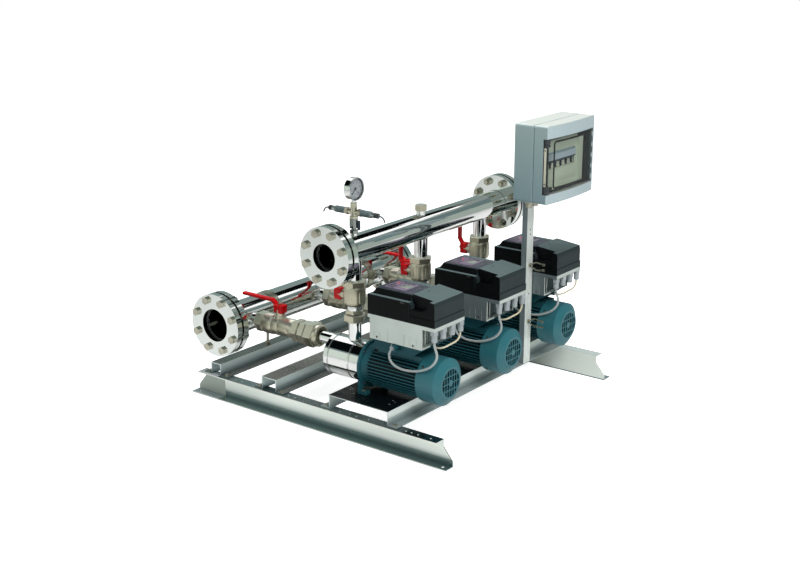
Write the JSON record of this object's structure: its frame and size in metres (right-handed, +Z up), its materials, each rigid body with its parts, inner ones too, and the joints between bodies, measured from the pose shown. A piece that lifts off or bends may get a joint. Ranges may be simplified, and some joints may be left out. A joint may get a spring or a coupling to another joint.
{
  "type": "booster pump set",
  "caption": "Booster set of side-by-side horizontal multistage pumps with inverters on a steel base, between suction and delivery manifolds, with a gauge and a control panel.",
  "frame": {"origin": "on the floor under the middle of the base, halfway between the rails and between their ends", "axes": "+X along the pump shafts towards the fans, +Y along the manifolds, +Z up"},
  "size_m": [1.095, 1.0328, 0.957],
  "materials": {
    "galvanised_steel": "satin zinc",
    "zinc_fasteners": "satin",
    "polished_pipe": "mirror",
    "flange_steel": "turned",
    "gasket_rubber": "matt",
    "nickel_brass": "satin nickel plate",
    "lever_paint": "dipped coating",
    "motor_paint": "satin paint",
    "cowl_paint": "satin paint",
    "core_steel": "laminated",
    "heatsink_alloy": "painted die casting",
    "cover_plastic": "fine grain",
    "keypad_foil": "foil",
    "gland_plastic": "smooth",
    "grey_cable": "smooth sheath",
    "cream_cable": "smooth sheath",
    "dark_cable": "smooth sheath",
    "panel_plastic": "fine grain",
    "plate_plastic": "smooth",
    "breaker_plastic": "smooth",
    "toggle_plastic": "smooth",
    "pointer_paint": "matt",
    "clear_door": "clear smoked plastic"
  },
  "bodies": {
    "base": {"base_rails": "galvanised_steel", "cross_members": "galvanised_steel", "pump_platform": "galvanised_steel", "frame_bolts": "zinc_fasteners", "panel_post": "galvanised_steel", "cable_hooks": "zinc_fasteners", "suction_manifold": "polished_pipe", "delivery_manifold": "polished_pipe", "pipe_flanges": "flange_steel", "flange_gaskets": "gasket_rubber", "flange_bolts": "zinc_fasteners", "pipe_clamps": "zinc_fasteners", "suction_valve_bodies": "nickel_brass", "delivery_valve_bodies": "nickel_brass", "pump_unions": "nickel_brass", "brass_plugs": "nickel_brass", "gauge_stem": "nickel_brass", "gauge_case": "polished_pipe", "pressure_transmitters": "flange_steel", "transmitter_lead_1": "dark_cable", "transmitter_lead_2": "dark_cable", "pump_casings": "polished_pipe", "bearings_and_seals": "flange_steel", "motor_frames": "motor_paint", "stators": "core_steel", "fan_cowls": "cowl_paint", "terminal_boxes": "motor_paint", "inverter_heatsinks": "heatsink_alloy", "inverter_covers": "cover_plastic", "inverter_keypads": "keypad_foil", "cable_glands": "gland_plastic", "motor_cable_1": "grey_cable", "motor_cable_2": "grey_cable", "motor_cable_3": "grey_cable", "sensor_cable_1": "cream_cable", "sensor_cable_2": "cream_cable", "sensor_cable_3": "cream_cable", "panel_box": "panel_plastic", "panel_front": "panel_plastic", "panel_plate": "plate_plastic", "breakers": "breaker_plastic"},
    "suction_lever_1": {"suction_lever_1": "lever_paint"},
    "delivery_lever_1": {"delivery_lever_1": "lever_paint"},
    "rotor_1": {"rotor_1": "core_steel"},
    "check_disc_1": {"check_disc_1": "nickel_brass"},
    "suction_lever_2": {"suction_lever_2": "lever_paint"},
    "delivery_lever_2": {"delivery_lever_2": "lever_paint"},
    "rotor_2": {"rotor_2": "core_steel"},
    "check_disc_2": {"check_disc_2": "nickel_brass"},
    "suction_lever_3": {"suction_lever_3": "lever_paint"},
    "delivery_lever_3": {"delivery_lever_3": "lever_paint"},
    "rotor_3": {"rotor_3": "core_steel"},
    "check_disc_3": {"check_disc_3": "nickel_brass"},
    "gauge_valve_lever": {"gauge_valve_lever": "toggle_plastic"},
    "panel_door": {"panel_door": "clear_door"},
    "main_toggle": {"main_toggle": "toggle_plastic"},
    "breaker_toggle_1": {"breaker_toggle_1": "toggle_plastic"},
    "breaker_toggle_2": {"breaker_toggle_2": "toggle_plastic"},
    "breaker_toggle_3": {"breaker_toggle_3": "toggle_plastic"},
    "gauge_pointer": {"gauge_pointer": "pointer_paint"}
  },
  "joints": [
    {"name": "suction_lever_turn_1", "type": "hinge", "parent": "base", "child": "suction_lever_1", "pos_m": [-0.257, -0.358, 0.33], "axis": [0, 0, -1], "range_deg": [0, 90]},
    {"name": "delivery_lever_turn_1", "type": "hinge", "parent": "base", "child": "delivery_lever_1", "pos_m": [0, -0.358, 0.431], "axis": [-1, 0, 0], "range_deg": [0, 90]},
    {"name": "rotor_spin_1", "type": "hinge", "parent": "base", "child": "rotor_1", "pos_m": [0.25, -0.358, 0.22], "axis": [1, 0, 0], "continuous": true},
    {"name": "check_disc_lift_1", "type": "slide", "parent": "base", "child": "check_disc_1", "axis": [1, 0, 0], "range_m": [0, 0.01], "stiffness_N_per_m": 200, "springref_m": -0.004},
    {"name": "suction_lever_turn_2", "type": "hinge", "parent": "base", "child": "suction_lever_2", "pos_m": [-0.257, 0, 0.33], "axis": [0, 0, -1], "range_deg": [0, 90]},
    {"name": "delivery_lever_turn_2", "type": "hinge", "parent": "base", "child": "delivery_lever_2", "pos_m": [0, 0, 0.431], "axis": [1, 0, 0], "range_deg": [0, 90]},
    {"name": "rotor_spin_2", "type": "hinge", "parent": "base", "child": "rotor_2", "pos_m": [0.25, 0, 0.22], "axis": [1, 0, 0], "continuous": true},
    {"name": "check_disc_lift_2", "type": "slide", "parent": "base", "child": "check_disc_2", "axis": [1, 0, 0], "range_m": [0, 0.01], "stiffness_N_per_m": 200, "springref_m": -0.004},
    {"name": "suction_lever_turn_3", "type": "hinge", "parent": "base", "child": "suction_lever_3", "pos_m": [-0.257, 0.358, 0.33], "axis": [0, 0, 1], "range_deg": [0, 90]},
    {"name": "delivery_lever_turn_3", "type": "hinge", "parent": "base", "child": "delivery_lever_3", "pos_m": [0, 0.358, 0.431], "axis": [1, 0, 0], "range_deg": [0, 90]},
    {"name": "rotor_spin_3", "type": "hinge", "parent": "base", "child": "rotor_3", "pos_m": [0.25, 0.358, 0.22], "axis": [1, 0, 0], "continuous": true},
    {"name": "check_disc_lift_3", "type": "slide", "parent": "base", "child": "check_disc_3", "axis": [1, 0, 0], "range_m": [0, 0.01], "stiffness_N_per_m": 200, "springref_m": -0.004},
    {"name": "gauge_valve_turn", "type": "hinge", "parent": "base", "child": "gauge_valve_lever", "pos_m": [0.09, -0.358, 0.679], "axis": [1, 0, 0], "range_deg": [0, 90]},
    {"name": "door_swing", "type": "hinge", "parent": "base", "child": "panel_door", "pos_m": [0.47, 0.147, 0.8215], "axis": [0, 0, -1], "range_deg": [0, 120]},
    {"name": "main_toggle_turn", "type": "hinge", "parent": "base", "child": "main_toggle", "pos_m": [0.45, 0.219, 0.82], "axis": [0, -1, 0], "range_deg": [0, 80]},
    {"name": "breaker_toggle_turn_1", "type": "hinge", "parent": "base", "child": "breaker_toggle_1", "pos_m": [0.45, 0.27, 0.82], "axis": [0, -1, 0], "range_deg": [0, 80]},
    {"name": "breaker_toggle_turn_2", "type": "hinge", "parent": "base", "child": "breaker_toggle_2", "pos_m": [0.45, 0.304, 0.82], "axis": [0, -1, 0], "range_deg": [0, 80]},
    {"name": "breaker_toggle_turn_3", "type": "hinge", "parent": "base", "child": "breaker_toggle_3", "pos_m": [0.45, 0.338, 0.82], "axis": [0, -1, 0], "range_deg": [0, 80]},
    {"name": "gauge_pointer_turn", "type": "hinge", "parent": "base", "child": "gauge_pointer", "pos_m": [0.08, -0.358, 0.787], "axis": [-1, 0, 0], "range_deg": [0, 270]}
  ]
}
